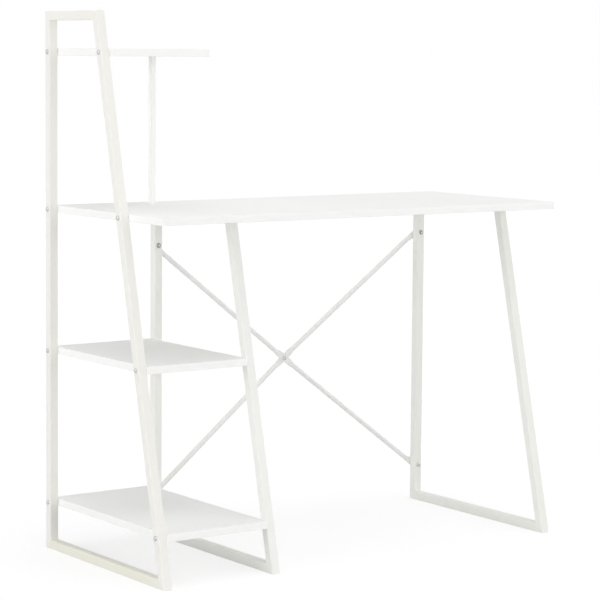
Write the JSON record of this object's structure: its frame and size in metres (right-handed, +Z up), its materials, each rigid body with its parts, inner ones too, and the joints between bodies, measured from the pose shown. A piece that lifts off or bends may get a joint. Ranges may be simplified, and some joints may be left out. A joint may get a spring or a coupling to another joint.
{
  "type": "desk with shelves",
  "caption": "Writing desk whose board is bolted to a tall leaning steel end frame that also carries open side shelves, on low leaning frames tied by a cross brace behind the knee room.",
  "frame": {"origin": "middle of the footprint, on the floor", "axes": "+X along the desk to the right as seen from the chair, +Y to the back, +Z up"},
  "size_m": [1.069, 0.5214, 1.17],
  "materials": {
    "white_steel": "smooth white powder coat on square steel tube, satin",
    "brace_steel": "white powder coat on round steel bar, satin",
    "white_board": "white melamine on particle board, matt, with edge banding",
    "white_cap": "moulded white plastic",
    "zinc_fastener": "zinc-plated steel, dull grey"
  },
  "bodies": {
    "root": {"bottom_shelf": "white_board", "bottom_shelf_left_screws": "zinc_fastener", "bottom_shelf_right_screws": "zinc_fastener", "brace_centre_bolt": "zinc_fastener", "brace_centre_nut": "zinc_fastener", "brace_end_bolts": "zinc_fastener", "brace_end_nuts": "zinc_fastener", "falling_brace": "brace_steel", "middle_frame_back_upright": "white_steel", "middle_frame_bottom_bar": "white_steel", "middle_frame_front_upright": "white_steel", "middle_frame_top_bar": "white_steel", "middle_frame_top_screws": "zinc_fastener", "middle_shelf": "white_board", "middle_shelf_left_screws": "zinc_fastener", "middle_shelf_right_screws": "zinc_fastener", "post_foot_cap": "white_cap", "post_foot_screw": "zinc_fastener", "post_top_plug": "zinc_fastener", "post_top_screw": "zinc_fastener", "right_frame_back_upright": "white_steel", "right_frame_bottom_bar": "white_steel", "right_frame_front_upright": "white_steel", "right_frame_top_bar": "white_steel", "right_frame_top_screws": "zinc_fastener", "rising_brace": "brace_steel", "shelf_post": "white_steel", "tabletop": "white_board", "tabletop_left_screws": "zinc_fastener", "tall_frame_back_upright": "white_steel", "tall_frame_bottom_bar": "white_steel", "tall_frame_front_upright": "white_steel", "tall_frame_top_bar": "white_steel", "top_shelf": "white_board", "top_shelf_left_screws": "zinc_fastener"}
  },
  "joints": []
}
